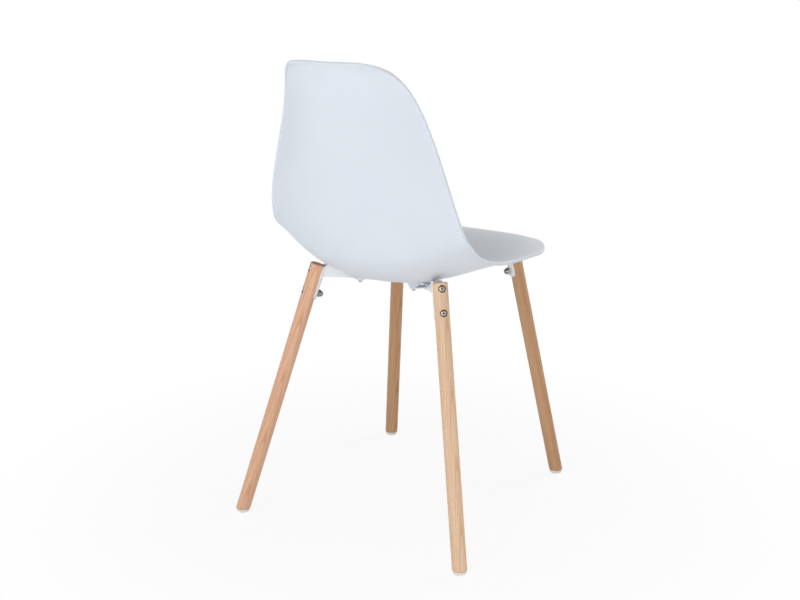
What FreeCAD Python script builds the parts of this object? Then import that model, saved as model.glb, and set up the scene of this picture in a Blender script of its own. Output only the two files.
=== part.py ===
import FreeCAD, Part
import Sketcher
import math
import os

from FreeCAD import Placement, Rotation, Vector

# Dining chair: a one-piece moulded shell on four splayed beech legs.  A pressed steel frame
# with four arms carries the shell on four moulded bosses, and each arm ends in a curved
# saddle that two through bolts and two cap nuts clamp to the inner side of a leg.
# Millimetres, +Z up, the sitter faces -Y, the origin is on the floor under the middle.

doc = FreeCAD.newDocument("dining_chair")

SIZES = [
    ("seat_height", 438.5), ("datum_y", -14.0),
    # shell: wall, rim bead, end margins of the moulded surface, rounded corners
    ("shell_wall", 4.0), ("bead_dia", 6.6), ("bead_flare", 0.7), ("bead_inset", 4.4), ("end_margin", 8.0),
    ("front_corner", 0.162), ("front_power", 1.88), ("back_corner", 0.147),
    ("back_power", 4.02), ("seat_curve", 2.52), ("back_curve", 1.82),
    ("roll_power", 6.0),
    # shell stations, front lip to top of the back: depth position, height over the lowest
    # point of the pan, half width, rise of the side edges, and how far the edges roll over
    ("nose_y", -237.0), ("nose_z", -9.0), ("nose_half", 198.0), ("nose_rise", 0.0), ("nose_roll", 13.5),
    ("front_y", -213.5), ("front_z", 21.5), ("front_half", 197.5), ("front_rise", -6.0), ("front_roll", 18.0),
    ("thigh_y", -101.5), ("thigh_z", 30.5), ("thigh_half", 199.0), ("thigh_rise", 22.0), ("thigh_roll", 24.5),
    ("pan_y", 11.5), ("pan_z", 0.0), ("pan_half", 188.0), ("pan_rise", 48.0), ("pan_roll", 12.5),
    ("hip_y", 115.0), ("hip_z", 3.0), ("hip_half", 185.5), ("hip_rise", 67.5), ("hip_roll", 7.5),
    ("bend_y", 182.5), ("bend_z", 36.5), ("bend_half", 189.5), ("bend_rise", 74.5), ("bend_roll", 8.0),
    ("lumbar_y", 218.5), ("lumbar_z", 116.5), ("lumbar_half", 182.5), ("lumbar_rise", 56.0), ("lumbar_roll", 0.0),
    ("blade_y", 235.0), ("blade_z", 265.5), ("blade_half", 140.0), ("blade_rise", 48.5), ("blade_roll", 0.0),
    ("head_y", 247.35), ("head_z", 337.3), ("head_half", 112.1), ("head_rise", 34.4), ("head_roll", 0.0),
    ("crown_y", 265.0), ("crown_z", 377.5), ("crown_half", 93.0), ("crown_rise", 5.5), ("crown_roll", 0.0),
    # mounting bosses, tabs, screws and inserts
    ("boss_x", 54.0), ("rear_boss_y", 91.0), ("front_boss_y", -103.0),
    ("rear_tab_z", -8.5), ("front_tab_z", 5.0), ("boss_foot_dia", 14.0), ("boss_root_dia", 60.0),
    ("boss_height", 36.0), ("tab_sheet", 2.0), ("tab_width", 15.0), ("mount_clearance", 0.3),
    ("screw_dia", 5.0), ("screw_head_dia", 7.6), ("screw_head_height", 4.4),
    ("screw_reach", 4.6), ("insert_dia", 7.6), ("insert_length", 5.0), ("insert_gap", 0.1),
    # steel frame
    ("hub_y", -6.0), ("rear_arm_angle", 46.1), ("front_arm_angle", 49.6),
    ("arm_width", 16.0), ("arm_sheet", 2.0), ("arm_start", 13.0), ("arm_knee", 62.0),
    ("hub_top_drop", 12.0), ("arm_root_height", 9.0), ("hub_dia", 56.0), ("hub_sheet", 2.0),
    ("arm_end_height", 20.5), ("arm_neck", 9.0), ("rear_shoulder", 134.0), ("rear_shoulder_z", -1.0),
    ("rear_knee_z", -11.5), ("rear_under_z", -7.0), ("front_shoulder", 124.0),
    ("front_shoulder_z", 11.0), ("front_knee_z", -9.0), ("front_under_z", 7.0),
    ("saddle_sheet", 3.0), ("saddle_gap", 0.2), ("saddle_half_angle", 50.0),
    ("saddle_below", 10.5), ("saddle_above", 9.5), ("saddle_corner", 4.0),
    # legs
    ("leg_dia", 25.0), ("leg_top", 11.5), ("leg_top_round", 2.6), ("leg_foot_chamfer", 0.5),
    ("rear_bolt_drop", 33.0), ("rear_bolt_radius", 192.8), ("rear_splay", 18.05),
    ("front_bolt_drop", 20.0), ("front_bolt_radius", 196.5), ("front_splay", 12.9),
    # through bolts and cap nuts
    ("bolt_spacing", 40.0), ("bolt_dia", 6.0), ("bolt_clearance", 0.3), ("bolt_head_dia", 10.5),
    ("bolt_head_height", 3.2), ("recess_dia", 12.5), ("recess_depth", 4.4),
    ("cross_width", 1.8), ("cross_span", 6.4), ("cross_depth", 2.0),
    ("nut_flats", 11.6), ("nut_hex_height", 4.3), ("nut_dome", 5.6), ("nut_bore_gap", 0.1),
    ("bolt_end_gap", 1.0),
    # glides
    ("glide_height", 7.5), ("glide_dia", 23.6), ("glide_tread_dia", 14.0), ("glide_dome", 5.2),
    ("glide_groove", 0.8), ("pin_dia", 6.0), ("pin_tip", 1.2), ("pin_length", 14.0),
    ("pin_gap", 0.2),
]

sheet = doc.addObject("Spreadsheet::Sheet", "Sizes")
for row, (alias, value) in enumerate(SIZES, start=1):
    sheet.set("A%d" % row, alias)
    sheet.set("B%d" % row, str(value))
    sheet.setAlias("B%d" % row, alias)
doc.recompute()


def size(alias):
    return float(getattr(sheet, alias))


def ref(formula):
    """Sheet formula: every bare word that is an alias becomes Sizes.word."""
    out = ""
    word = ""
    for letter in formula + " ":
        if letter.isalnum() or letter == "_":
            word += letter
            continue
        out += "Sizes." + word if word in ALIASES else word
        out += letter
        word = ""
    return out.strip()


ALIASES = {alias for alias, _ in SIZES}

# The four corners: name, side of the chair (+1 sitter's left), front or rear, arm direction.
CORNERS = [
    ("rear_left", 1, "rear", size("rear_arm_angle")),
    ("rear_right", -1, "rear", 180.0 - size("rear_arm_angle")),
    ("front_left", 1, "front", -size("front_arm_angle")),
    ("front_right", -1, "front", 180.0 + size("front_arm_angle")),
]


# --- small helpers around PartDesign ------------------------------------------------------

def new_body(label):
    body = doc.addObject("PartDesign::Body", label)
    body.Label = label
    return body


def origin_item(body, role):
    return next(item for item in body.Origin.OriginFeatures if item.Role == role)


def new_sketch(body, plane, lift=None, tilt=None):
    """Sketch on an origin plane of its own body, lifted along the plane's normal."""
    sketch = body.newObject("Sketcher::SketchObject", body.Label + "_sketch")
    sketch.AttachmentSupport = [(origin_item(body, plane), "")]
    sketch.MapMode = "FlatFace"
    if tilt is not None:
        sketch.AttachmentOffset = Placement(Vector(), Rotation(Vector(0, 1, 0), 1.0))
        sketch.setExpression("AttachmentOffset.Rotation.Angle", ref(tilt))
    if lift is not None:
        sketch.setExpression("AttachmentOffset.Base.z", ref(lift))
    return sketch


def bind(sketch, kind, geo, point, formula):
    """Place a point by its signed distance from the sketch origin."""
    index = sketch.addConstraint(Sketcher.Constraint(kind, -1, 1, geo, point, 1.0))
    sketch.setExpression("Constraints[%d]" % index, ref(formula))


def add_circle(sketch, diameter, cx=None, cy=None):
    geo = sketch.addGeometry(Part.Circle(Vector(1, 1, 0), Vector(0, 0, 1), 5.0))
    index = sketch.addConstraint(Sketcher.Constraint("Diameter", geo, 10.0))
    sketch.setExpression("Constraints[%d]" % index, ref(diameter))
    if cx is None and cy is None:
        sketch.addConstraint(Sketcher.Constraint("Coincident", geo, 3, -1, 1))
        return geo
    for kind, formula in (("DistanceX", cx), ("DistanceY", cy)):
        if formula is None:
            on_axis = -2 if kind == "DistanceX" else -1
            sketch.addConstraint(Sketcher.Constraint("PointOnObject", geo, 3, on_axis))
        else:
            bind(sketch, kind, geo, 3, formula)
    return geo


def add_polygon(sketch, corners):
    """Closed polygon whose corners are pairs of sheet formulas."""
    count = len(corners)
    values = [(evaluate(x), evaluate(y)) for x, y in corners]
    for k in range(count):
        start = Vector(values[k][0], values[k][1], 0)
        end = Vector(values[(k + 1) % count][0], values[(k + 1) % count][1], 0)
        sketch.addGeometry(Part.LineSegment(start, end))
    for k in range(count):
        sketch.addConstraint(Sketcher.Constraint("Coincident", k, 2, (k + 1) % count, 1))
    for k, (x, y) in enumerate(corners):
        for kind, formula, value in (("DistanceX", x, values[k][0]), ("DistanceY", y, values[k][1])):
            index = sketch.addConstraint(Sketcher.Constraint(kind, -1, 1, k, 1, value))
            sketch.setExpression("Constraints[%d]" % index, ref(formula))


def evaluate(formula):
    """Value of a sheet formula, for the first drawing of a bound sketch."""
    probe = sheet.evalExpression(ref(formula))
    return float(getattr(probe, "Value", probe))


def extrude(body, sketch, kind, length=None, symmetric=False, backwards=False):
    feature = body.newObject("PartDesign::" + kind, body.Label + "_" + kind.lower())
    feature.Profile = sketch
    feature.Reversed = backwards
    if symmetric:
        feature.SideType = "Symmetric"
    if length is None:
        feature.Type = "ThroughAll"
    else:
        feature.setExpression("Length", ref(length))
    before = body.Shape.Volume if kind == "Pocket" else 0.0
    doc.recompute()
    if kind == "Pocket" and feature.Shape.Volume >= before:
        raise RuntimeError("pocket of %s cuts nothing" % body.Label)
    return feature


def revolve(body, sketch, axis):
    feature = body.newObject("PartDesign::Revolution", body.Label + "_revolution")
    feature.Profile = sketch
    feature.ReferenceAxis = (sketch, [axis])
    feature.Angle = 360.0
    doc.recompute()
    return feature


def edges_where(shape, test):
    return ["Edge%d" % (k + 1) for k, edge in enumerate(shape.Edges) if test(edge)]


def dress(body, base, kind, names, formula):
    feature = body.newObject("PartDesign::" + kind, body.Label + "_" + kind.lower())
    feature.Base = (base, names)
    feature.setExpression("Radius" if kind == "Fillet" else "Size", ref(formula))
    doc.recompute()
    return feature


def repeat_up(body, feature, spacing):
    pattern = body.newObject("PartDesign::LinearPattern", body.Label + "_pattern")
    pattern.Originals = [feature] if not isinstance(feature, list) else feature
    pattern.Direction = (origin_item(body, "Z_Axis"), [""])
    pattern.setExpression("Length", ref(spacing))
    pattern.Occurrences = 2
    body.Tip = pattern
    doc.recompute()
    return pattern


# --- placements ---------------------------------------------------------------------------

def hub_placement(angle):
    """Local X runs out along an arm, Z is up, the origin is on the floor under the hub."""
    base = Vector(0, size("hub_y") + size("datum_y"), 0)
    return Placement(base, Rotation(Vector(0, 0, 1), angle))


def leg_placement(end, angle):
    """Local Z runs up the leg's axis and X along its bolts, the origin is at the lower bolt."""
    height = size("seat_height") - size(end + "_bolt_drop")
    lean = Rotation(Vector(0, 1, 0), -size(end + "_splay"))
    local = Placement(Vector(size(end + "_bolt_radius"), 0, height), lean)
    return hub_placement(angle).multiply(local)


def foot_placement(end, angle):
    """Local Z is up, the origin is on the floor under the middle of the leg's cut end."""
    height = size("seat_height") - size(end + "_bolt_drop") - size("glide_height")
    radius = size(end + "_bolt_radius") + height * math.tan(math.radians(size(end + "_splay")))
    return hub_placement(angle).multiply(Placement(Vector(radius, 0, 0), Rotation()))


# --- shell --------------------------------------------------------------------------------

STATIONS = [
    ("nose", 0.0), ("front", 0.035), ("thigh", 0.154), ("pan", 0.304), ("hip", 0.442),
    ("bend", 0.546), ("lumbar", 0.673), ("blade", 0.841), ("head", 0.93),
    ("crown", 1.0),
]


def curve_through(points, at, closed=False):
    curve = Part.BSplineCurve()
    curve.interpolate(Points=points, Parameters=at, PeriodicFlag=closed)
    return curve


def mean_spacing(rows):
    """Parameter of each row, from the mean distance between neighbouring rows."""
    at = [0.0]
    for one, two in zip(rows, rows[1:]):
        at.append(at[-1] + sum((b - a).Length for a, b in zip(one, two)) / len(one))
    return at


def surface_through(rows, closed=False):
    """Smooth surface through a grid of points; closed joins the last row to the first."""
    along = mean_spacing(rows + rows[:1] if closed else rows)
    across = mean_spacing([list(column) for column in zip(*rows)])
    columns = [curve_through(list(column), along, closed) for column in zip(*rows)]
    ribs = [curve_through(list(poles), across)
            for poles in zip(*[column.getPoles() for column in columns])]
    surface = Part.BSplineSurface()
    surface.buildFromPolesMultsKnots(
        [rib.getPoles() for rib in ribs],
        columns[0].getMultiplicities(), ribs[0].getMultiplicities(),
        columns[0].getKnots(), ribs[0].getKnots(),
        closed, False, columns[0].Degree, ribs[0].Degree)
    return surface


class ShellForm:
    """Middle surface of the shell, from across = -1..1 and along = 0 (lip) .. 1 (crown)."""

    def __init__(self):
        along = [at for _, at in STATIONS]
        spine = [Vector(0, size(n + "_y") + size("datum_y"), size(n + "_z") + size("seat_height"))
                 for n, _ in STATIONS]
        self.length = sum((b - a).Length for a, b in zip(spine, spine[1:]))
        step = size("end_margin") / self.length
        self.start = -step
        self.finish = 1.0 + step
        self.spine = curve_through(spine, along)
        plan = [Vector(size(n + "_half"), size(n + "_rise"), size(n + "_roll"))
                for n, _ in STATIONS]
        self.plan = curve_through(plan, along)

    def axes(self, along):
        """Point of the centre line and the direction in which the side edges rise."""
        inside = min(max(along, 0.0), 1.0)
        tangent = self.spine.tangent(inside)[0]
        centre = self.spine.value(inside) + tangent * (along - inside) * self.length
        return centre, Vector(0, -tangent.z, tangent.y)

    def power(self, along):
        blend = min(max((along - 0.4) / 0.3, 0.0), 1.0)
        return size("seat_curve") + (size("back_curve") - size("seat_curve")) * blend

    def point(self, across, along):
        centre, up = self.axes(along)
        plan = self.plan.value(min(max(along, 0.0), 1.0))
        lift = plan.y * abs(across) ** self.power(along)
        roll = max(plan.z, 0.0) * abs(across) ** size("roll_power")
        return centre + Vector(plan.x * across, 0, 0) + up * (lift - roll)

    def normal(self, across, along):
        """Unit normal towards the sitter."""
        step = 0.002
        side = self.point(across + step, along) - self.point(across - step, along)
        ahead = self.point(across, along + step) - self.point(across, along - step)
        return side.cross(ahead).normalize()

    def surface(self, shift, across, along):
        return surface_through([[self.point(u, v) + self.normal(u, v) * shift for u in across]
                                for v in along])

    def rim(self):
        """Pairs (across, along) on one side, from the middle of the lip to the crown."""
        pairs = []
        front, back = size("front_corner"), size("back_corner")
        for k in range(15):
            turn = math.radians(90.0) * k / 15.0
            pairs.append((math.sin(turn) ** (2.0 / size("front_power")),
                          front * (1.0 - math.cos(turn) ** (2.0 / size("front_power")))))
        sides = 25
        for k in range(sides + 1):
            pairs.append((1.0, front + (1.0 - back - front) * k / sides))
        for k in range(14, -1, -1):
            turn = math.radians(90.0) * k / 15.0
            pairs.append((math.sin(turn) ** (2.0 / size("back_power")),
                          1.0 - back * (1.0 - math.cos(turn) ** (2.0 / size("back_power")))))
        return pairs


def spread(low, high, count):
    return [low + (high - low) * k / (count - 1) for k in range(count)]


def rim_loops(form):
    """Closed outline of the shell, and the same loop a bead's width further in."""
    one_side = form.rim()
    other_side = [(-across, along) for across, along in one_side[1:-1]]
    outline = one_side + other_side[::-1]
    in_across = 1.0 - size("bead_inset") / size("pan_half")
    in_along = size("bead_inset") / form.length
    inside = [(across * in_across, in_along + along * (1.0 - 2.0 * in_along))
              for across, along in outline]
    return outline, inside


def rim_strip(form, outer, inner):
    """Rounded edge bead: leaves the outer wall, turns round the rim, meets the inner wall."""
    half = size("shell_wall") / 2.0
    radius = size("bead_dia") / 2.0
    rows = []
    for edge, foot in zip(*rim_loops(form)):
        base = form.point(*foot)
        shift = form.normal(*foot) * half
        start = outer.value(*outer.parameter(base - shift))
        finish = inner.value(*inner.parameter(base + shift))
        up = form.normal(*edge)
        out = form.point(*edge) - base
        out = (out - up * out.dot(up)).normalize()
        centre = form.point(*edge) - up * size("bead_flare") - out * radius * 0.6
        arc = [centre + (out * math.sin(turn) - up * math.cos(turn)) * radius
               for turn in spread(0.0, math.pi, 6)]
        rows.append([start] + arc + [finish])
    return surface_through(rows, closed=True).toShape()


def shell_wall(form):
    """Closed wall: outer face, inner face and the bead that joins them round the rim."""
    across = [math.copysign(abs(u) ** 0.9, u) * 1.07 for u in spread(-1.0, 1.0, 21)]
    along = spread(form.start, form.finish, 45)
    half = size("shell_wall") / 2.0
    outer = form.surface(-half, across, along)
    inner = form.surface(half, across, along)
    strip = rim_strip(form, outer, inner)
    faces = [strip]
    for surface in (outer, inner):
        whole = surface.toShape()
        loops = [edge for edge in strip.Edges if edge.isClosed()]
        edge = min(loops, key=lambda item: item.distToShape(whole)[0])
        face = Part.Face(surface, Part.Wire([edge]))
        face.validate()
        faces.append(face)
    skin = Part.makeShell(faces)
    skin.sewShape()
    solid = Part.makeSolid(skin if skin.ShapeType == "Shell" else skin.Shells[0])
    if solid.Volume < 0:
        solid.reverse()
    return solid


def boss_places():
    for name, side, end, angle in CORNERS:
        y = size(end + "_boss_y") + size("datum_y")
        z = size("seat_height") + size(end + "_tab_z")
        yield name, Vector(side * size("boss_x"), y, z)


def shell_bosses(form):
    """Four conical bosses that run up into the pan, each with a blind hole for its insert."""
    patch = form.surface(0.0, spread(-0.8, 0.8, 13), spread(0.06, 0.47, 19))
    above = patch.toShape().extrude(Vector(0, 0, 80))
    hole = size("insert_dia") / 2.0 + size("insert_gap")
    bosses = []
    for _, foot in boss_places():
        cone = Part.makeCone(size("boss_foot_dia") / 2.0, size("boss_root_dia") / 2.0,
                             size("boss_height"), foot)
        drill = Part.makeCylinder(hole, size("insert_length") + size("insert_gap"), foot)
        bosses.append(cone.cut(above).cut(drill))
    return bosses


def make_shell():
    form = ShellForm()
    shell = doc.addObject("Part::Feature", "seat_shell")
    shell.Shape = shell_wall(form).fuse(shell_bosses(form)).Solids[0]
    shell.Label = "seat_shell"
    return shell


# --- legs and glides ----------------------------------------------------------------------

def foot_drop(end):
    """Formula: distance down the leg's axis from the lower bolt to the top of the glide."""
    return "(seat_height - %s_bolt_drop - glide_height) / cos(%s_splay)" % (end, end)


def make_leg(name, end, angle):
    """Turned beech dowel, cut parallel to the floor, with two counterbored bolt holes."""
    body = new_body("leg_" + name)
    drop = foot_drop(end)
    section = new_sketch(body, "XY_Plane", "-(%s) - leg_dia" % drop)
    add_circle(section, "leg_dia")
    stock = extrude(body, section, "Pad", "%s + leg_dia + bolt_spacing + leg_top" % drop)
    top = stock.Shape.BoundBox.ZMax
    crown = edges_where(stock.Shape, lambda edge: abs(edge.BoundBox.ZMin - top) < 1e-4)
    dress(body, stock, "Fillet", crown, "leg_top_round")

    floor_cut = new_sketch(body, "XY_Plane", "-(%s)" % drop, "%s_splay" % end)
    add_circle(floor_cut, "leg_dia * 4")
    cut = extrude(body, floor_cut, "Pocket", "leg_dia * 3")
    size_z = size("leg_dia")
    foot = edges_where(cut.Shape, lambda edge: edge.BoundBox.ZMax < cut.Shape.BoundBox.ZMin
                       + size_z and edge.Closed and edge.BoundBox.DiagonalLength > size_z)
    dress(body, cut, "Chamfer", foot, "leg_foot_chamfer")

    pin_hole = new_sketch(body, "XY_Plane", "-(%s)" % drop, "%s_splay" % end)
    add_circle(pin_hole, "pin_dia + pin_gap * 2")
    extrude(body, pin_hole, "Pocket", "pin_length + pin_gap", backwards=True)

    bolt_holes = new_sketch(body, "YZ_Plane")
    add_circle(bolt_holes, "bolt_dia + bolt_clearance * 2")
    add_circle(bolt_holes, "bolt_dia + bolt_clearance * 2", None, "bolt_spacing")
    extrude(body, bolt_holes, "Pocket", "leg_dia * 2", symmetric=True)

    recesses = new_sketch(body, "YZ_Plane", "leg_dia / 2 - recess_depth")
    add_circle(recesses, "recess_dia")
    add_circle(recesses, "recess_dia", None, "bolt_spacing")
    extrude(body, recesses, "Pocket", "leg_dia", backwards=True)
    body.Placement = leg_placement(end, angle)
    return body


def make_glide(name, end, angle):
    """Moulded glide: domed tread, a fine groove under the wood and a pin up into the leg."""
    body = new_body("glide_" + name)
    profile = new_sketch(body, "XZ_Plane")
    tread, collar, pin = "glide_tread_dia / 2", "glide_dia / 2", "pin_dia / 2"
    outline = [("0", "0")]
    steps = 8
    for k in range(steps + 1):
        turn = 90.0 * k / steps
        outline.append(("%s + (%s - %s) * sin(%g)" % (tread, collar, tread, turn),
                        "glide_dome * (1 - cos(%g))" % turn))
    add_polygon(profile, outline + [
        (collar, "glide_height - glide_groove"),
        (collar + " - glide_groove", "glide_height - glide_groove"),
        (collar + " - glide_groove", "glide_height"), (pin, "glide_height"),
        (pin, "glide_height + pin_length - pin_tip"),
        (pin + " - pin_tip / 2", "glide_height + pin_length"),
        ("0", "glide_height + pin_length"),
    ])
    revolve(body, profile, "V_Axis")
    body.Placement = foot_placement(end, angle)
    return body


# --- steel frame --------------------------------------------------------------------------

def make_saddle(name, end, angle):
    """Curved steel plate that lies on the inner side of the leg, with rounded corners."""
    body = new_body("saddle_" + name)
    inner = "leg_dia + saddle_gap * 2"
    ring = new_sketch(body, "XY_Plane", "-saddle_below")
    add_circle(ring, inner)
    add_circle(ring, inner + " + saddle_sheet * 2")
    extrude(body, ring, "Pad", "saddle_below + bolt_spacing + saddle_above")
    wedge = new_sketch(body, "XY_Plane", "-saddle_below - 1")
    far, wide = "leg_dia * 2 * cos(saddle_half_angle)", "leg_dia * 2 * sin(saddle_half_angle)"
    add_polygon(wedge, [("0", "0"), ("-" + far, wide), ("leg_dia * 2", "leg_dia * 2"),
                        ("leg_dia * 2", "-leg_dia * 2"), ("-" + far, "-" + wide)])
    sector = extrude(body, wedge, "Pocket", "saddle_below + bolt_spacing + saddle_above + 2",
                     backwards=True)
    sheet_edge = size("saddle_sheet")
    corners = edges_where(sector.Shape, lambda edge: abs(edge.Length - sheet_edge) < 1e-3)
    dress(body, sector, "Fillet", corners, "saddle_corner")
    holes = new_sketch(body, "YZ_Plane")
    add_circle(holes, "bolt_dia + bolt_clearance * 2")
    add_circle(holes, "bolt_dia + bolt_clearance * 2", None, "bolt_spacing")
    extrude(body, holes, "Pocket", "leg_dia * 2", symmetric=True)
    body.Placement = leg_placement(end, angle)
    return body


def saddle_back(end, above_seat):
    """Formula: distance from the hub to the back of the saddle at a height over the seat."""
    height = "(%s + %s_bolt_drop)" % (above_seat, end)
    wall = "(leg_dia / 2 + saddle_gap + saddle_sheet) / cos(%s_splay)" % end
    return "%s_bolt_radius - %s * tan(%s_splay) - %s" % (end, height, end, wall)


def make_arm(name, end, angle):
    """Folded channel arm, open below, from the hub out to the saddle of one leg."""
    body = new_body("arm_" + name)
    under = end + "_under_z"
    over = "%s_under_z + arm_end_height" % end
    root = "-hub_top_drop"

    def outline(inset, sink, past):
        top = "seat_height - %s" % inset
        return [
            ("arm_start", "%s + %s - arm_root_height + %s - %s" % (top, root, inset, sink)),
            ("arm_knee", "%s + %s - arm_root_height + %s - %s" % (top, root, inset, sink)),
            ("%s_shoulder" % end,
             "%s + %s_shoulder_z - arm_neck + %s - %s" % (top, end, inset, sink)),
            (saddle_back(end, under) + " + " + past, "%s + %s + %s - %s" % (top, under, inset, sink)),
            (saddle_back(end, over) + " + " + past, "%s + %s" % (top, over)),
            ("%s_shoulder + arm_end_height" % end, "%s + %s" % (top, over)),
            ("%s_shoulder" % end, "%s + %s_shoulder_z" % (top, end)),
            ("arm_knee", "%s + %s_knee_z" % (top, end)),
            ("arm_start", "%s + %s" % (top, root)),
        ]

    side = new_sketch(body, "XZ_Plane")
    add_polygon(side, outline("0", "0", "leg_dia / 4"))
    extrude(body, side, "Pad", "arm_width", symmetric=True)
    hollow = new_sketch(body, "XZ_Plane")
    add_polygon(hollow, outline("arm_sheet", "arm_width", "leg_dia"))
    extrude(body, hollow, "Pocket", "arm_width - arm_sheet * 2", symmetric=True)
    cope = new_sketch(body, "XY_Plane", "seat_height - %s_bolt_drop" % end, "-%s_splay" % end)
    add_circle(cope, "leg_dia + saddle_gap * 2 + saddle_sheet * 2",
               "%s_bolt_radius * cos(%s_splay)" % (end, end), "0")
    extrude(body, cope, "Pocket", "leg_dia * 12", symmetric=True)
    body.Placement = hub_placement(angle)
    return body


def make_tab(name, side, end, angle):
    """Flat ear welded to the arm's side, with a hole under the shell's boss."""
    body = new_body("tab_" + name)
    turn = "%s_arm_angle" % end
    reach_y = "(rear_boss_y - hub_y)" if end == "rear" else "(hub_y - front_boss_y)"
    along = "(boss_x * cos(%s) + %s * sin(%s))" % (turn, reach_y, turn)
    out = "(%s * cos(%s) - boss_x * sin(%s))" % (reach_y, turn, turn)
    sign = "" if side * (1 if end == "rear" else -1) > 0 else "-"
    lift = "seat_height + %s_tab_z - tab_sheet" % end
    ear = new_sketch(body, "XY_Plane", lift)
    add_circle(ear, "tab_width", along, sign + out)
    extrude(body, ear, "Pad", "tab_sheet")
    strip = new_sketch(body, "XY_Plane", lift)
    add_polygon(strip, [
        (along + " - tab_width / 2", sign + "(arm_width / 2)"),
        (along + " + tab_width / 2", sign + "(arm_width / 2)"),
        (along + " + tab_width / 2", sign + out), (along + " - tab_width / 2", sign + out),
    ])
    extrude(body, strip, "Pad", "tab_sheet")
    hole = new_sketch(body, "XY_Plane", lift)
    add_circle(hole, "screw_dia + mount_clearance * 2", along, sign + out)
    extrude(body, hole, "Pocket", "tab_sheet * 2", symmetric=False, backwards=True)
    body.Placement = hub_placement(angle)
    return body


def make_hub():
    """Pressed disc under the roots of the four arms."""
    body = new_body("frame_hub")
    disc = new_sketch(body, "XY_Plane",
                      "seat_height - hub_top_drop - arm_root_height - hub_sheet")
    add_circle(disc, "hub_dia")
    pad = extrude(body, disc, "Pad", "hub_sheet")
    low = pad.Shape.BoundBox.ZMin
    edge = edges_where(pad.Shape, lambda item: abs(item.BoundBox.ZMax - low) < 1e-4)
    dress(body, pad, "Fillet", edge, "hub_sheet * 0.6")
    body.Placement = hub_placement(0.0)
    return body


# --- fasteners ----------------------------------------------------------------------------

def make_bolts(name, end, angle):
    """Two through bolts with domed, cross-recessed heads sunk in the leg's outer side."""
    body = new_body("bolts_" + name)
    profile = new_sketch(body, "XZ_Plane")
    seat = "(leg_dia / 2 - recess_depth)"
    tip = "(leg_dia / 2 + saddle_gap + saddle_sheet + nut_hex_height + bolt_end_gap)"
    add_polygon(profile, [
        ("-" + tip, "0"), (seat + " + bolt_head_height", "0"),
        (seat + " + bolt_head_height", "bolt_head_dia * 0.3"),
        (seat + " + bolt_head_height * 0.8", "bolt_head_dia * 0.42"),
        (seat + " + bolt_head_height * 0.4", "bolt_head_dia * 0.5"),
        (seat, "bolt_head_dia * 0.5"), (seat, "bolt_dia / 2"),
        ("-%s + 0.6" % tip, "bolt_dia / 2"), ("-" + tip, "bolt_dia / 2 - 0.6"),
    ])
    bolt = revolve(body, profile, "H_Axis")
    recess = new_sketch(body, "YZ_Plane", seat + " + bolt_head_height - cross_depth")
    arm, span = "cross_width / 2", "cross_span / 2"
    add_polygon(recess, [
        (arm, arm), (arm, span), ("-" + arm, span), ("-" + arm, arm), ("-" + span, arm),
        ("-" + span, "-" + arm), ("-" + arm, "-" + arm), ("-" + arm, "-" + span),
        (arm, "-" + span), (arm, "-" + arm), (span, "-" + arm), (span, arm),
    ])
    slot = extrude(body, recess, "Pocket", "cross_depth * 2", backwards=True)
    repeat_up(body, [bolt, slot], "bolt_spacing")
    body.Placement = leg_placement(end, angle)
    return body


def make_nuts(name, end, angle):
    """Two cap nuts on the saddle: hexagon, dome and blind bore."""
    body = new_body("cap_nuts_" + name)
    face = "-(leg_dia / 2 + saddle_gap + saddle_sheet)"
    hexagon = new_sketch(body, "YZ_Plane", face)
    corner = "nut_flats / (2 * cos(30))"
    add_polygon(hexagon, [
        ("%s * cos(%d)" % (corner, turn), "%s * sin(%d)" % (corner, turn))
        for turn in (30, 90, 150, 210, 270, 330)
    ])
    block = extrude(body, hexagon, "Pad", "nut_hex_height", backwards=True)
    dome = new_sketch(body, "XZ_Plane")
    root = face + " - nut_hex_height"
    steps = 6
    arc = [(root + " + 1", "0")]
    arc += [(root + " + 1", "nut_dome - 0.2")]
    for k in range(steps + 1):
        turn = 90.0 * k / steps
        arc.append((root + " - nut_dome * sin(%g)" % turn,
                    "nut_dome * cos(%g)" % turn if k < steps else "0"))
    add_polygon(dome, arc)
    cap = revolve(body, dome, "H_Axis")
    bore = new_sketch(body, "YZ_Plane", face)
    add_circle(bore, "bolt_dia + nut_bore_gap * 2")
    drilled = extrude(body, bore, "Pocket", "nut_hex_height + bolt_end_gap + nut_bore_gap")
    repeat_up(body, [block, cap, drilled], "bolt_spacing")
    body.Placement = leg_placement(end, angle)
    return body


def make_screw(name, foot):
    """Pan-head screw driven up through the tab into the insert of one boss."""
    body = new_body("shell_screw_" + name)
    profile = new_sketch(body, "XZ_Plane")
    add_polygon(profile, [
        ("0", "-tab_sheet - screw_head_height"),
        ("screw_head_dia * 0.28", "-tab_sheet - screw_head_height"),
        ("screw_head_dia * 0.44", "-tab_sheet - screw_head_height * 0.7"),
        ("screw_head_dia / 2", "-tab_sheet - screw_head_height * 0.3"),
        ("screw_head_dia / 2", "-tab_sheet"), ("screw_dia / 2", "-tab_sheet"),
        ("screw_dia / 2", "screw_reach - 0.5"), ("screw_dia / 2 - 0.5", "screw_reach"),
        ("0", "screw_reach"),
    ])
    revolve(body, profile, "V_Axis")
    body.Placement = Placement(foot, Rotation())
    return body


def make_insert(name, foot):
    """Brass sleeve moulded into the boss."""
    body = new_body("insert_" + name)
    ring = new_sketch(body, "XY_Plane")
    add_circle(ring, "insert_dia")
    add_circle(ring, "screw_dia + nut_bore_gap * 2")
    extrude(body, ring, "Pad", "insert_length")
    body.Placement = Placement(foot, Rotation())
    return body


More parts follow.
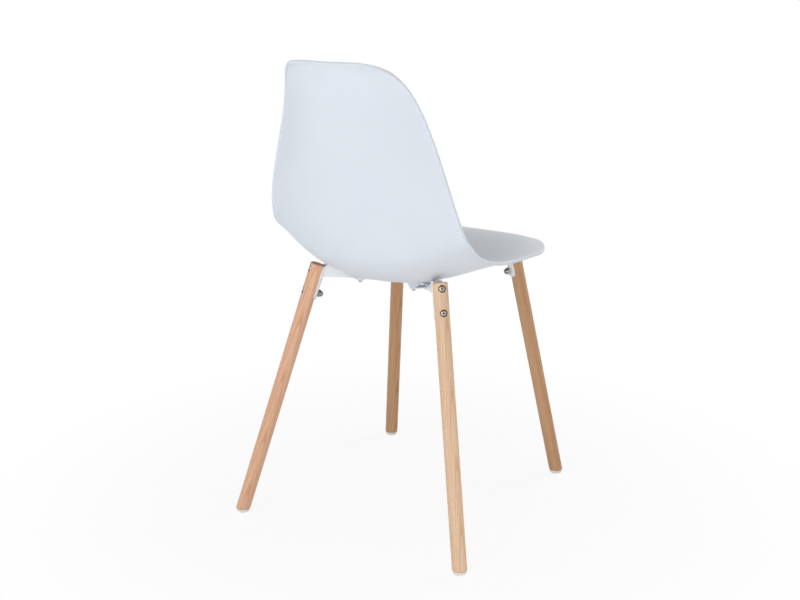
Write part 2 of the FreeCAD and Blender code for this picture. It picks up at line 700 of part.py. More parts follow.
def check_and_write(nodes):
    doc.recompute()
    for item in doc.Objects:
        if "Invalid" in item.State or "Error" in item.State:
            raise RuntimeError("%s did not compute" % item.Label)
    os.makedirs("parts", exist_ok=True)
    for node in nodes:
        shape = node.Shape
        if shape.isNull() or not shape.isValid():
            raise RuntimeError("%s has no valid shape" % node.Label)
        shape.exportStep("parts/%s.step" % node.Label)
        box = shape.BoundBox
        print("%-26s solids %d volume %9.0f  x %7.1f %7.1f  y %7.1f %7.1f  z %6.1f %6.1f" % (
            node.Label, len(shape.Solids), shape.Volume, box.XMin, box.XMax, box.YMin,
            box.YMax, box.ZMin, box.ZMax))



parts = [make_shell(), make_hub()]
for corner, hand, zone, direction in CORNERS:
    parts.append(make_leg(corner, zone, direction))
    parts.append(make_glide(corner, zone, direction))
    parts.append(make_saddle(corner, zone, direction))
    parts.append(make_arm(corner, zone, direction))
    parts.append(make_tab(corner, hand, zone, direction))
    parts.append(make_bolts(corner, zone, direction))
    parts.append(make_nuts(corner, zone, direction))
for corner, place in boss_places():
    parts.append(make_screw(corner, place))
    parts.append(make_insert(corner, place))
check_and_write(parts)
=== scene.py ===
import math

import bmesh
import bpy
from mathutils import Matrix, Vector


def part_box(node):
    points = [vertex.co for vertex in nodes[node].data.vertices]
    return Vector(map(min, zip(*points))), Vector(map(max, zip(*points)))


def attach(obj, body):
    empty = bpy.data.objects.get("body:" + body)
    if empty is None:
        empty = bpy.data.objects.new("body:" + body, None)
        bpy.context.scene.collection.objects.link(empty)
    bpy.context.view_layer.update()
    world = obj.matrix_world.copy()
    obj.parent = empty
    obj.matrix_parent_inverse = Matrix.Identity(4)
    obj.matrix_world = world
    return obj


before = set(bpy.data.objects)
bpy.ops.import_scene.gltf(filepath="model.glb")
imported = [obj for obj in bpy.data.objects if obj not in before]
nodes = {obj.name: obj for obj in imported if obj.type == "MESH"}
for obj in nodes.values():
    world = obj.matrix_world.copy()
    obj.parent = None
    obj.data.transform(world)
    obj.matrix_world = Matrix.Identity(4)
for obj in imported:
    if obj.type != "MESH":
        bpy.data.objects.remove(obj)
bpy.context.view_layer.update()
corners = ("rear_left", "rear_right", "front_left", "front_right")

# Seat shell. One bucket-shaped moulding in polypropylene, 4 mm thick, with a rounded bead
# all round its rim and four cone-shaped bosses under the seat. It comes out of a steel
# mould with a fine spark texture, which leaves it satin and stops it from looking wet.


def linear(code):
    """sRGB hex colour as the linear colour that a shader works with."""
    parts = [int(code[k:k + 2], 16) / 255.0 for k in (1, 3, 5)]
    return [c / 12.92 if c <= 0.04045 else ((c + 0.055) / 1.055) ** 2.4 for c in parts] + [1.0]


def add(tree, kind, settings, links=None):
    """Add a node: settings go to its attributes or, failing that, to its inputs."""
    item = tree.nodes.new("ShaderNode" + kind)
    for key, value in settings.items():
        if isinstance(key, str) and hasattr(item, key):
            setattr(item, key, value)
        else:
            item.inputs[key].default_value = value
    for key, source in (links or {}).items():
        tree.links.new(source, item.inputs[key])
    return item


def new_material(name):
    """Material, its node tree, its shader, and a node that gives the place on the chair."""
    material = bpy.data.materials.new(name)
    material.use_nodes = True
    tree = material.node_tree
    return material, tree, tree.nodes["Principled BSDF"], add(tree, "TexCoord", {})


def pieces(prefix):
    return [item for name, item in nodes.items() if name.startswith(prefix)]


def finish_with(prefix, material):
    for item in pieces(prefix):
        item.data.materials.clear()
        item.data.materials.append(material)


SHELL_WHITE = "#E2E7ED"
SHELL_WHITE_COOLED = "#DFE4EB"      # where the melt met the mould last, slightly duller
SPARK_GRAIN = 0.9                   # mm; the real texture is about 0.15 mm, too fine to show
SPARK_DEPTH = 0.02                  # mm
FLOW_LENGTH = 70.0                  # mm, length of the faint tone changes in the moulding

shell_plastic, tree, shader, place = new_material("polypropylene_spark_textured")
flow = add(tree, "TexNoise", {"Scale": 1000.0 / FLOW_LENGTH, "Detail": 1.0, "Roughness": 0.4},
           {"Vector": place.outputs["Object"]})
tone = add(tree, "Mix", {"data_type": "RGBA", 6: linear(SHELL_WHITE), 7: linear(SHELL_WHITE_COOLED)},
           {0: flow.outputs["Fac"]})
tree.links.new(tone.outputs[2], shader.inputs["Base Color"])
spark = add(tree, "TexNoise", {"Scale": 1000.0 / SPARK_GRAIN, "Detail": 3.0, "Roughness": 0.65},
            {"Vector": place.outputs["Object"]})
gloss = add(tree, "MapRange", {"From Min": 0.3, "From Max": 0.7, "To Min": 0.46, "To Max": 0.56},
            {"Value": spark.outputs["Fac"]})
tree.links.new(gloss.outputs[0], shader.inputs["Roughness"])
pits = add(tree, "Bump", {"Strength": 0.6, "Distance": SPARK_DEPTH / 1000.0},
           {"Height": spark.outputs["Fac"]})
tree.links.new(pits.outputs[0], shader.inputs["Normal"])
shader.inputs["IOR"].default_value = 1.49
finish_with("seat_shell", shell_plastic)

# Threaded inserts. Turned brass bushes, pressed into the foot of each boss. Only their
# end ring shows, bright from the lathe, with fine turning lines.
BRASS = "#C6A15C"
TURNED_LINE = 0.35                  # mm between the lines
TURNED_DEPTH = 0.01                 # mm

insert_brass, tree, shader, place = new_material("brass_turned")
shader.inputs["Base Color"].default_value = linear(BRASS)
shader.inputs["Metallic"].default_value = 1.0
lathe = add(tree, "TexNoise", {"Scale": 1000.0 / TURNED_LINE, "Detail": 2.0},
            {"Vector": place.outputs["Object"]})
gloss = add(tree, "MapRange", {"To Min": 0.25, "To Max": 0.4}, {"Value": lathe.outputs["Fac"]})
tree.links.new(gloss.outputs[0], shader.inputs["Roughness"])
lines = add(tree, "Bump", {"Strength": 0.3, "Distance": TURNED_DEPTH / 1000.0},
            {"Height": lathe.outputs["Fac"]})
tree.links.new(lines.outputs[0], shader.inputs["Normal"])
finish_with("insert", insert_brass)

# Cross frame. Four channel arms folded from 2 mm steel, a pressed disc at their middle, four
# ears for the shell screws and a curved saddle for each leg. They are welded together, then
# powder coated white, which rounds the edges and leaves a slight orange peel.
COAT_WHITE = "#F0F2F3"
COAT_WHITE_THIN = "#EAECEE"
ORANGE_PEEL = 1.8                   # mm between the humps of the coat
PEEL_DEPTH = 0.03                   # mm
COAT_GRIT = 0.4                     # mm
GRIT_DEPTH = 0.01                   # mm
COATED_EDGE = 0.35                  # mm, radius of a sheared edge under its coat
SHARP_EDGE = 40.0                   # degrees; a flatter fold is left as it is

powder_coat, tree, shader, place = new_material("steel_powder_coated")
peel = add(tree, "TexNoise", {"Scale": 1000.0 / ORANGE_PEEL, "Detail": 1.0, "Roughness": 0.4},
           {"Vector": place.outputs["Object"]})
grit = add(tree, "TexNoise", {"Scale": 1000.0 / COAT_GRIT, "Detail": 2.0},
           {"Vector": place.outputs["Object"]})
tone = add(tree, "Mix", {"data_type": "RGBA", 6: linear(COAT_WHITE), 7: linear(COAT_WHITE_THIN)},
           {0: peel.outputs["Fac"]})
tree.links.new(tone.outputs[2], shader.inputs["Base Color"])
gloss = add(tree, "MapRange", {"From Min": 0.3, "From Max": 0.7, "To Min": 0.32, "To Max": 0.42},
            {"Value": grit.outputs["Fac"]})
tree.links.new(gloss.outputs[0], shader.inputs["Roughness"])
grains = add(tree, "Bump", {"Strength": 0.2, "Distance": GRIT_DEPTH / 1000.0},
             {"Height": grit.outputs["Fac"]})
humps = add(tree, "Bump", {"Strength": 0.5, "Distance": PEEL_DEPTH / 1000.0},
            {"Height": peel.outputs["Fac"], "Normal": grains.outputs[0]})
tree.links.new(humps.outputs[0], shader.inputs["Normal"])
shader.inputs["IOR"].default_value = 1.5

for prefix in ("frame_hub", "arm", "tab", "saddle"):
    finish_with(prefix, powder_coat)
    for item in pieces(prefix):
        soft = item.modifiers.new("coated_edges", "BEVEL")
        soft.width = COATED_EDGE / 1000.0
        soft.segments = 2
        soft.limit_method = "ANGLE"
        soft.angle_limit = math.radians(SHARP_EDGE)

# Weld beads. The arm's two side plates are welded to the saddle, and each ear to its arm,
# with short runs of wire weld. A bead is a row of overlapping ripples with a start and an
# end that taper off; the coat covers it with the rest.
LEG_RADIUS = 0.0125                 # metres, as are all the sizes of the beads
SADDLE_GAP = 0.0002
SADDLE_SHEET = 0.003
SADDLE_BACK = LEG_RADIUS + SADDLE_GAP + SADDLE_SHEET
ARM_HALF = 0.008
ARM_END_HEIGHT = 0.0205
BEAD_RADIUS = 0.0013
BEAD_OFF = 0.35 * BEAD_RADIUS       # from the side plate to the bead's middle
BEAD_LEAN = 0.6                     # how far a saddle's bead faces the hub, against its side
BEAD_END_GAP = 0.0012               # from the arm's upper and lower edge to the bead's end
EAR_BEAD_HALF = 0.0065              # half the length of an ear's bead
EAR_BEAD_OFF = 0.0003               # from arm and ear to the bead's middle
RIPPLE = 0.0016                     # between ripples, one for each move of the torch
RIPPLE_SWELL = 0.13                 # share of its radius by which a ripple swells the bead
WANDER = 0.00025                    # how far the bead strays from a straight line
WANDER_TURN = 3.1                   # radians of that stray in each ripple
ROWS_IN_RIPPLE = 6
BEAD_SIDES = 12
THIN_END = 0.15                     # share of its radius that a bead keeps at its very end


def leg_frame(corner):
    """Axes of a leg at its foot: X outwards, Y across, Z up its length."""
    low, high = (Vector(c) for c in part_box("leg_" + corner))
    right = 1.0 if "left" in corner else -1.0
    back = 1.0 if "rear" in corner else -1.0
    up = Vector((0.0, 0.0, 1.0))
    for _ in range(4):
        # a leaning disc reaches less far along each axis than its radius
        inset = [LEG_RADIUS * math.sqrt(1.0 - part * part) for part in up]
        foot = Vector((high.x - inset[0] if right > 0 else low.x + inset[0],
                       high.y - inset[1] if back > 0 else low.y + inset[1], low.z + inset[2]))
        head = Vector((low.x + inset[0] if right > 0 else high.x - inset[0],
                       low.y + inset[1] if back > 0 else high.y - inset[1], high.z - inset[2]))
        up = (head - foot).normalized()
    level = Vector((-up.x, -up.y, 0.0))
    outward = (level - up * level.dot(up)).normalized()
    turn = Matrix((outward, up.cross(outward), up)).transposed().to_4x4()
    return Matrix.Translation(foot) @ turn


def weld_bead(name, start, end, face):
    """Rippled bead from start to end, lying in the corner that face points out of."""
    run = end - start
    ripples = run.length / RIPPLE
    side = run.cross(face).normalized()
    rows = int(ripples * ROWS_IN_RIPPLE)
    turns = [2.0 * math.pi * k / BEAD_SIDES for k in range(BEAD_SIDES)]
    mesh = bmesh.new()
    rings = []
    for row in range(rows + 1):
        part = row / rows
        swell = 1.0 + RIPPLE_SWELL * abs(math.sin(math.pi * part * ripples))
        taper = min(1.0, (1.0 - abs(2.0 * part - 1.0)) * run.length / (2.0 * BEAD_RADIUS)) ** 0.5
        radius = BEAD_RADIUS * swell * max(taper, THIN_END)
        middle = start + run * part + side * (WANDER * math.sin(WANDER_TURN * part * ripples))
        rings.append([mesh.verts.new(middle + radius * (math.cos(turn) * face + math.sin(turn) * side))
                      for turn in turns])
    for one, two in zip(rings, rings[1:]):
        for k in range(BEAD_SIDES):
            after = (k + 1) % BEAD_SIDES
            mesh.faces.new((one[k], one[after], two[after], two[k]))
    mesh.faces.new(rings[0][::-1])
    mesh.faces.new(rings[-1])
    bmesh.ops.recalc_face_normals(mesh, faces=mesh.faces)
    data = bpy.data.meshes.new(name)
    mesh.to_mesh(data)
    mesh.free()
    data.polygons.foreach_set("use_smooth", [True] * len(data.polygons))
    data.materials.append(powder_coat)
    bead = bpy.data.objects.new(name, data)
    bpy.context.scene.collection.objects.link(bead)
    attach(bead, "root")


hub_low, hub_high = (Vector(c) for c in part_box("frame_hub"))
hub = (hub_low + hub_high) / 2.0
for corner in corners:
    axes = leg_frame(corner)
    outward, across_leg, up = (axes.to_3x3().col[k] for k in range(3))
    arm_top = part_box("arm_" + corner)[1][2]
    for mark, sign in (("a", -1.0), ("b", 1.0)):
        offset = ARM_HALF + BEAD_OFF
        inward = math.sqrt(SADDLE_BACK ** 2 - offset ** 2)
        line = axes.translation - outward * inward + across_leg * (sign * offset)
        start, end = (line + up * ((z - line.z) / up.z)
                      for z in (arm_top - ARM_END_HEIGHT + BEAD_END_GAP, arm_top - BEAD_END_GAP))
        weld_bead("weld_saddle_%s_%s" % (corner, mark), start, end,
                  (across_leg * sign - outward * BEAD_LEAN).normalized())
    ear_low = Vector(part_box("tab_" + corner)[0])
    screw_low, screw_high = (Vector(c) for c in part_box("shell_screw_" + corner))
    arm_way = Vector((axes.translation.x - hub.x, axes.translation.y - hub.y, 0.0)).normalized()
    arm_side = Vector((-arm_way.y, arm_way.x, 0.0))
    to_screw = (screw_low + screw_high) / 2.0 - hub
    sign = math.copysign(1.0, to_screw.dot(arm_side))
    middle = hub + arm_way * to_screw.dot(arm_way) + arm_side * (sign * (ARM_HALF + EAR_BEAD_OFF))
    middle.z = ear_low.z - EAR_BEAD_OFF
    weld_bead("weld_ear_" + corner, middle - arm_way * EAR_BEAD_HALF, middle + arm_way * EAR_BEAD_HALF,
              (arm_side * sign - Vector((0.0, 0.0, 1.0))).normalized())

# Legs. Four straight dowels of European beech, 25 mm across, turned and sanded, with a thin
# satin lacquer. They lean out towards the corners of the chair. Each has its own tone, and the
# two front legs are drawn darker still, as painted shade for the lesser light on them. Each has
# its own place in the log; the end grain at the top is darker, because it drinks lacquer.
BEECH_TONES_AND_SHADE = {                           # early wood, late wood, mm to the log's middle, turn
    "rear_right": ("#EECBA9", "#E1B48E", 58.0, 20.0),
    "rear_left": ("#EABB9A", "#DAA481", 46.0, 75.0),
    # painted shade: the two front legs' tones are darker than their wood alone, standing in for the
    # shade they are in
    "front_right": ("#CFA37C", "#BF8D65", 64.0, 140.0),
    "front_left": ("#CB9F78", "#B98960", 52.0, 215.0),
}
OUT_OF_TRUE = 1.5                   # degrees between the dowel and the trunk
RING_WIDTH = 2.6                    # mm of growth in a year
WAVE_PERIOD = 0.314                 # between the rings that the wave texture draws at scale 1
ALONG_RINGS = 0.03                  # share of a step along the trunk that moves the rings
PLANK_TONE = (0.11, 0.006)          # changes of tone in a mm, across and along the trunk
FIBRE = 0.7                         # mm across; real vessels are 0.1 mm, too fine to show
FIBRE_LENGTH = 40.0                 # times their width
FIBRE_DEPTH = 0.05                  # mm
FLECK_BROWN = "#C4935F"
END_GRAIN_BROWN = "#A87C58"
BOLT_SPACING = 40.0                 # mm
BORE_RADIUS = 6.25                  # mm
# painted shade: the dark brown that the counterbore walls are drawn in
PAINTED_BORE_SHADE = "#5A3A24"
RAY_FLECK = (0.7, 6.0, 6.5)         # mm between ray flecks: across, towards the bark, along


def bolt_axes(corner):
    """A leg's axes, with their origin midway between its two bolt heads."""
    axes = leg_frame(corner)
    points = [axes.inverted() @ v.co for v in nodes["bolts_" + corner].data.vertices]
    middle = [(min(p[k] for p in points) + max(p[k] for p in points)) / 2.0 for k in (1, 2)]
    return axes @ Matrix.Translation((max(p.x for p in points), *middle))


def in_axes(tree, place, axes):
    """Node that gives the place in other axes than the chair's."""
    back = axes.inverted()
    return add(tree, "Mapping", {"vector_type": "POINT", "Location": back.translation,
                                 "Rotation": back.to_euler("XYZ")},
               {"Vector": place.outputs["Object"]})


def from_nearer_bolt(tree, at_bolts):
    """Socket with the distance in mm from the axis of the nearer of a leg's two bolts."""
    flat = add(tree, "VectorMath", {"operation": "MULTIPLY", 1: (0.0, 1000.0, 1000.0)},
               {0: at_bolts.outputs[0]})
    mirrored = add(tree, "VectorMath", {"operation": "ABSOLUTE"}, {0: flat.outputs[0]})
    away = add(tree, "VectorMath", {"operation": "DISTANCE", 1: (0.0, 0.0, BOLT_SPACING / 2.0)},
               {0: mirrored.outputs[0]})
    return away.outputs["Value"]


def beech(corner, early, late, to_pith, turned):
    """Lacquered beech cut from a log whose middle runs to_pith mm beside the leg."""
    material, tree, shader, place = new_material("beech_lacquered_" + corner)
    # the grain runs a little out of true, so the rings cross the dowel slowly
    log = (leg_frame(corner) @ Matrix.Rotation(math.radians(turned), 4, "Z")
           @ Matrix.Translation((-to_pith / 1000.0, 0.0, 0.0))
           @ Matrix.Rotation(math.radians(OUT_OF_TRUE), 4, "Y"))
    wood_mm = add(tree, "VectorMath", {"operation": "SCALE", "Scale": 1000.0},
                  {0: in_axes(tree, place, log).outputs[0]})

    # growth rings: pale early wood that darkens to late wood, then starts again
    ring_place = add(tree, "VectorMath", {"operation": "MULTIPLY", 1: (1.0, 1.0, ALONG_RINGS)},
                     {0: wood_mm.outputs[0]})
    rings = add(tree, "TexWave", {"wave_type": "RINGS", "rings_direction": "Z",
                                  "wave_profile": "SAW", "Scale": WAVE_PERIOD / RING_WIDTH,
                                  "Distortion": 3.0, "Detail": 2.0, "Detail Scale": 0.35},
                {"Vector": ring_place.outputs[0]})
    late_wood = add(tree, "ValToRGB", {}, {"Fac": rings.outputs["Fac"]})
    stops = late_wood.color_ramp.elements
    stops[0].position, stops[0].color = 0.0, linear(early)
    stops[1].position, stops[1].color = 0.62, linear(early)
    for at, code in ((0.92, late), (1.0, early)):
        stops.new(at).color = linear(code)

    # slow changes of tone along the plank
    plank_place = add(tree, "VectorMath",
                      {"operation": "MULTIPLY", 1: (PLANK_TONE[0], PLANK_TONE[0], PLANK_TONE[1])},
                      {0: wood_mm.outputs[0]})
    plank = add(tree, "TexNoise", {"Scale": 1.0, "Detail": 2.0, "Roughness": 0.5},
                {"Vector": plank_place.outputs[0]})
    mellow = add(tree, "Mix", {"data_type": "RGBA", "blend_type": "SOFT_LIGHT", 0: 0.45},
                 {6: late_wood.outputs["Color"], 7: plank.outputs["Fac"]})

    # fibres and vessels, drawn out along the trunk
    fibre_place = add(tree, "VectorMath",
                      {"operation": "MULTIPLY", 1: (1.0 / FIBRE, 1.0 / FIBRE,
                                                    1.0 / (FIBRE * FIBRE_LENGTH))},
                      {0: wood_mm.outputs[0]})
    fibre = add(tree, "TexNoise", {"Scale": 1.0, "Detail": 4.0, "Roughness": 0.62},
                {"Vector": fibre_place.outputs[0]})
    fibre_tone = add(tree, "MapRange", {"From Min": 0.3, "From Max": 0.72, "To Min": 0.9,
                                        "To Max": 1.05}, {"Value": fibre.outputs["Fac"]})
    grained = add(tree, "VectorMath", {"operation": "SCALE"},
                  {0: mellow.outputs[2], "Scale": fibre_tone.outputs[0]})

    # ray flecks: short brown dashes where a ray is cut across, wider where the dowel's side runs
    # along it
    fleck_place = add(tree, "VectorMath",
                      {"operation": "MULTIPLY", 1: (1.0 / RAY_FLECK[1], 1.0 / RAY_FLECK[0],
                                                    1.0 / RAY_FLECK[2])},
                      {0: wood_mm.outputs[0]})
    fleck = add(tree, "TexVoronoi", {"Scale": 1.0, "feature": "F1"},
                {"Vector": fleck_place.outputs[0]})
    fleck_mask = add(tree, "MapRange", {"From Min": 0.12, "From Max": 0.26, "To Min": 0.5,
                                        "To Max": 0.0}, {"Value": fleck.outputs["Distance"]})
    flecked = add(tree, "Mix", {"data_type": "RGBA", "blend_type": "MULTIPLY",
                                7: linear(FLECK_BROWN)},
                  {6: grained.outputs[0], 0: fleck_mask.outputs[0]})

    # end grain
    trunk = log.to_3x3().col[2]
    facing = add(tree, "VectorMath", {"operation": "DOT_PRODUCT", 1: trunk},
                 {0: place.outputs["Normal"]})
    cut_end = add(tree, "Math", {"operation": "ABSOLUTE"}, {0: facing.outputs["Value"]})
    end_mask = add(tree, "MapRange", {"From Min": 0.35, "From Max": 0.8, "To Min": 0.0,
                                      "To Max": 0.75}, {"Value": cut_end.outputs[0]})
    end_grain = add(tree, "Mix", {"data_type": "RGBA", "blend_type": "MULTIPLY",
                                  7: linear(END_GRAIN_BROWN)},
                    {6: flecked.outputs[2], 0: end_mask.outputs[0]})

    # the two counterbores: painted shade, their walls drawn dark brown for the shade down in each bore
    # round the bolt head
    at_bolts = in_axes(tree, place, bolt_axes(corner))
    in_bore = add(tree, "MapRange", {"From Min": BORE_RADIUS + 0.12, "From Max": BORE_RADIUS - 0.02,
                                     "To Min": 0.0, "To Max": 0.85},
                  {"Value": from_nearer_bolt(tree, at_bolts)})
    bore_shaded = add(tree, "Mix", {"data_type": "RGBA", 7: linear(PAINTED_BORE_SHADE)},
                   {6: end_grain.outputs[2], 0: in_bore.outputs[0]})
    tree.links.new(bore_shaded.outputs[2], shader.inputs["Base Color"])

    satin = add(tree, "MapRange", {"From Min": 0.3, "From Max": 0.7, "To Min": 0.5,
                                   "To Max": 0.4}, {"Value": fibre.outputs["Fac"]})
    tree.links.new(satin.outputs[0], shader.inputs["Roughness"])
    shader.inputs["IOR"].default_value = 1.5
    # the lacquer is thin and half soaked in, so it mirrors little
    shader.inputs["Specular IOR Level"].default_value = 0.2
    pores = add(tree, "Bump", {"Strength": 0.35, "Distance": FIBRE_DEPTH / 1000.0},
                {"Height": fibre.outputs["Fac"]})
    tree.links.new(pores.outputs[0], shader.inputs["Normal"])
    return material


for corner in corners:
    finish_with("leg_" + corner, beech(corner, *BEECH_TONES_AND_SHADE[corner]))

# Through bolts. M6 furniture bolts with a domed, cross-recessed head sunk into the leg, two
# to a leg. Steel, turned and bright zinc plated: fine rings round the head, silver with a
# faint warmth.
ZINC = "#B9B6AF"
SMEAR = 2.0                         # mm, size of the duller and brighter patches
TURNING_MARK = 0.45                 # mm; the real feed marks are about 0.15 mm
MARK_DEPTH = 0.01                   # mm
# painted shade: the darker zinc that the cross recess is drawn in
CROSS_SHADE_ZINC = "#55524F"
CROSS_REACH = 3.4                   # mm from the bolt's middle to the end of the cross
SHADE_FROM = 0.1                     # mm down in the cross, where the painted shade starts
SHADE_FULL = 0.4                     # mm down, where the painted shade is at its darkest


def plated_steel(name, code, low_gloss, high_gloss, corner=None):
    """Plated steel; given a corner, with turning marks round that leg's two bolts and painted shade
    down in their cross recesses.
    """
    material, tree, shader, place = new_material(name)
    shader.inputs["Base Color"].default_value = linear(code)
    shader.inputs["Metallic"].default_value = 1.0
    smear = add(tree, "TexNoise", {"Scale": 1000.0 / SMEAR, "Detail": 3.0, "Roughness": 0.6},
                {"Vector": place.outputs["Object"]})
    gloss = add(tree, "MapRange", {"From Min": 0.3, "From Max": 0.7, "To Min": low_gloss,
                                   "To Max": high_gloss}, {"Value": smear.outputs["Fac"]})
    tree.links.new(gloss.outputs[0], shader.inputs["Roughness"])
    height = smear.outputs["Fac"]
    if corner:
        at_bolts = in_axes(tree, place, bolt_axes(corner))
        from_bolt = from_nearer_bolt(tree, at_bolts)
        feed = add(tree, "Math", {"operation": "MULTIPLY", 1: 2.0 * math.pi / TURNING_MARK},
                   {0: from_bolt})
        mark = add(tree, "Math", {"operation": "SINE"}, {0: feed.outputs[0]})
        height = mark.outputs[0]
        # painted shade: down in the cross the zinc is drawn darker, for the shade in the recess
        depth = add(tree, "SeparateXYZ", {}, {0: at_bolts.outputs[0]})
        sunk = add(tree, "MapRange", {"From Min": -SHADE_FROM / 1000.0, "From Max": -SHADE_FULL / 1000.0},
                   {"Value": depth.outputs["X"]})
        near = add(tree, "Math", {"operation": "LESS_THAN", 1: CROSS_REACH}, {0: from_bolt})
        painted_shade = add(tree, "Math", {"operation": "MULTIPLY"}, {0: sunk.outputs[0],
                                                             1: near.outputs[0]})
        tone = add(tree, "Mix", {"data_type": "RGBA", 6: linear(code), 7: linear(CROSS_SHADE_ZINC)},
                   {0: painted_shade.outputs[0]})
        tree.links.new(tone.outputs[2], shader.inputs["Base Color"])
    marks = add(tree, "Bump", {"Strength": 0.25, "Distance": MARK_DEPTH / 1000.0},
                {"Height": height})
    tree.links.new(marks.outputs[0], shader.inputs["Normal"])
    return material


for corner in corners:
    finish_with("bolts_" + corner,
                plated_steel("steel_zinc_plated_" + corner, ZINC, 0.22, 0.34, corner))

# Cap nuts. Hexagon nuts with a domed cap, one on each bolt inside the saddle. Pressed steel,
# polished and nickel plated, darker and smoother than the zinc on the bolts.
NICKEL = "#85827D"

finish_with("cap_nuts", plated_steel("steel_nickel_plated", NICKEL, 0.16, 0.24))

# Shell screws. M5 pan heads, driven up through the ears into the inserts. Cold-headed steel
# under the same zinc as the bolts, a little greyer and less smooth.
SCREW_ZINC = "#ABA9A4"

finish_with("shell_screw", plated_steel("steel_zinc_plated_screw", SCREW_ZINC, 0.26, 0.38))

# Glides. White nylon buttons with a short pin, tapped into the foot of each leg. Nylon is
# slightly waxy and lets a little light in; the tread is scuffed from standing.
NYLON = "#ECEBE8"
SCUFFS = 1100.0                     # in a metre
SCUFF_DEPTH = 0.03                  # mm

glide_nylon, tree, shader, place = new_material("nylon_moulded")
shader.inputs["Base Color"].default_value = linear(NYLON)
shader.inputs["IOR"].default_value = 1.53
shader.inputs["Subsurface Weight"].default_value = 0.2
shader.inputs["Subsurface Scale"].default_value = 0.001
scuff = add(tree, "TexNoise", {"Scale": SCUFFS, "Detail": 3.0, "Roughness": 0.6},
            {"Vector": place.outputs["Object"]})
gloss = add(tree, "MapRange", {"From Min": 0.3, "From Max": 0.7, "To Min": 0.38, "To Max": 0.52},
            {"Value": scuff.outputs["Fac"]})
tree.links.new(gloss.outputs[0], shader.inputs["Roughness"])
dents = add(tree, "Bump", {"Strength": 0.3, "Distance": SCUFF_DEPTH / 1000.0},
            {"Height": scuff.outputs["Fac"]})
tree.links.new(dents.outputs[0], shader.inputs["Normal"])
finish_with("glide", glide_nylon)

# Camera. It stands behind the chair on the sitter's right, a little higher than the back, and
# looks slightly down.
azimuth = math.radians(211.41)
elevation = math.radians(15.92)
camera_distance = 2.19824
aim_height = 0.37648
aim_aside = 0.02444
across = Vector((math.cos(azimuth), math.sin(azimuth), 0.0))
away = Vector((math.sin(azimuth) * math.cos(elevation), -math.cos(azimuth) * math.cos(elevation),
               math.sin(elevation)))
aim = Vector((0.0, -0.0140, aim_height)) - across * aim_aside
camera_data = bpy.data.cameras.new("camera")
camera_data.lens = 55.16
camera_data.sensor_width = 36.0
camera = bpy.data.objects.new("camera", camera_data)
camera.location = aim + away * camera_distance
camera.rotation_euler = away.to_track_quat("Z", "Y").to_euler()
bpy.context.scene.collection.objects.link(camera)
bpy.context.scene.camera = camera

# Floor. White studio paper: it keeps the chair's shadow near the legs, and further out it
# turns into the plain white of the backdrop.
FLOOR_SIZE = 120.0                  # metres, as are the next two
FADE_START = 0.3                    # from the chair's middle to where the paper starts to fade
FADE_END = 0.9                      # and to where it is all backdrop
BACKDROP_SHARE = 0.9                # share of the backdrop's white inside the fade
PAPER = "#F3F3F3"


def shows_white(tree):
    """Socket that is 1 for a ray that shows a surface, directly, in a mirror or through glass."""
    rays = add(tree, "LightPath", {})
    seen = add(tree, "Math", {"operation": "MAXIMUM"}, {0: rays.outputs["Is Camera Ray"],
                                                        1: rays.outputs["Is Glossy Ray"]})
    seen = add(tree, "Math", {"operation": "MAXIMUM"}, {0: seen.outputs[0],
                                                        1: rays.outputs["Is Transmission Ray"]})
    return seen.outputs[0]


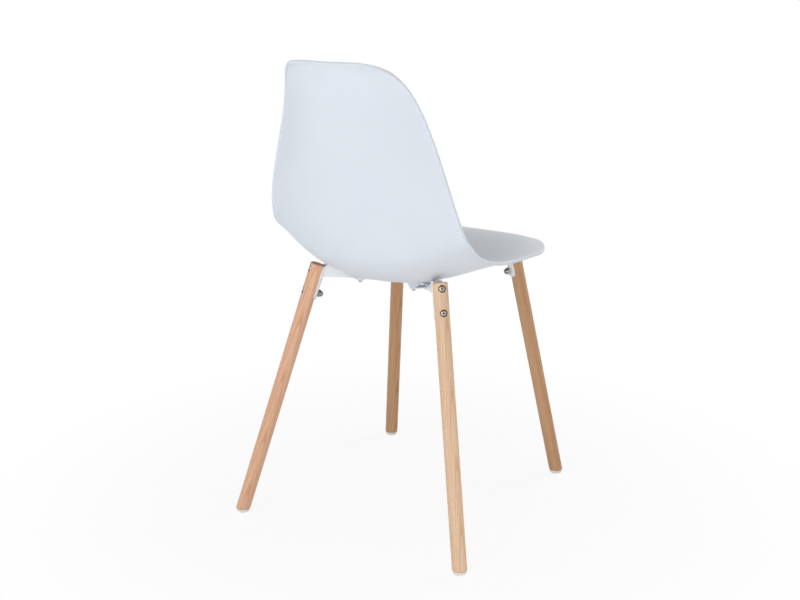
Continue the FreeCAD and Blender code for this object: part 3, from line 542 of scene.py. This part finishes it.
bpy.ops.mesh.primitive_plane_add(size=FLOOR_SIZE, location=(0, 0, 0))
floor = bpy.context.object
floor.name = "floor"
paper, tree, shader, place = new_material("studio_paper")
shader.inputs["Base Color"].default_value = linear(PAPER)
shader.inputs["Roughness"].default_value = 0.9
shader.inputs["Specular IOR Level"].default_value = 0.0
distance = add(tree, "VectorMath", {"operation": "LENGTH"}, {0: place.outputs["Object"]})
far_off = add(tree, "MapRange", {"From Min": FADE_START, "From Max": FADE_END,
                                 "To Min": BACKDROP_SHARE, "To Max": 1.0,
                                 "interpolation_type": "SMOOTHSTEP"},
              {"Value": distance.outputs["Value"]})
share = add(tree, "Math", {"operation": "MULTIPLY"}, {0: shows_white(tree), 1: far_off.outputs[0]})
white = add(tree, "Emission", {"Color": (1.0, 1.0, 1.0, 1.0), "Strength": 1.0})
blend = add(tree, "MixShader", {}, {0: share.outputs[0], 1: shader.outputs[0],
                                    2: white.outputs[0]})
tree.links.new(blend.outputs[0], tree.nodes["Material Output"].inputs["Surface"])
floor.data.materials.append(paper)

# Light. Six soft boxes round the chair, most of them on the camera's side, one overhead and
# one behind it at the right. The room gives only a little light itself.
ROOM_LIGHT = 0.1
BOX_SIZE = 0.9                      # metres
BOX_DISTANCE = 1.8                  # metres from the point that the camera looks at
COOL = (0.98, 1.0, 1.03)
WARM = (1.01, 1.0, 0.975)

world = bpy.data.worlds.new("studio")
world.use_nodes = True
bpy.context.scene.world = world
tree = world.node_tree
level = add(tree, "MapRange", {"To Min": ROOM_LIGHT, "To Max": 1.0}, {"Value": shows_white(tree)})
backdrop = tree.nodes["Background"]
backdrop.inputs["Color"].default_value = (1.0, 1.0, 1.0, 1.0)
tree.links.new(level.outputs[0], backdrop.inputs["Strength"])


def soft_box(name, bearing, height, power, tint):
    """Soft box that faces the chair; bearing and height in degrees, from the camera's side."""
    data = bpy.data.lights.new(name, "AREA")
    data.size = BOX_SIZE
    data.energy = power
    data.color = tint
    turn, lift = math.radians(bearing), math.radians(height)
    way = Vector((away.x, away.y, 0.0)).normalized() * math.cos(turn) + across * math.sin(turn)
    way = way * math.cos(lift) + Vector((0.0, 0.0, math.sin(lift)))
    item = bpy.data.objects.new(name, data)
    item.location = aim + way * BOX_DISTANCE
    item.rotation_euler = way.to_track_quat("Z", "Y").to_euler()
    item.visible_camera = False
    bpy.context.scene.collection.objects.link(item)


soft_box("front_light", 0.0, 2.0, 7.1, COOL)
soft_box("right_light", 40.0, 2.0, 6.1, COOL)
soft_box("left_light", -80.0, 2.0, 6.4, COOL)
soft_box("high_left_light", -40.0, 30.0, 8.9, COOL)
soft_box("back_light", 120.0, 30.0, 12.2, WARM)
soft_box("top_light", 0.0, 90.0, 7.2, WARM)

bpy.context.scene.view_settings.view_transform = "Standard"
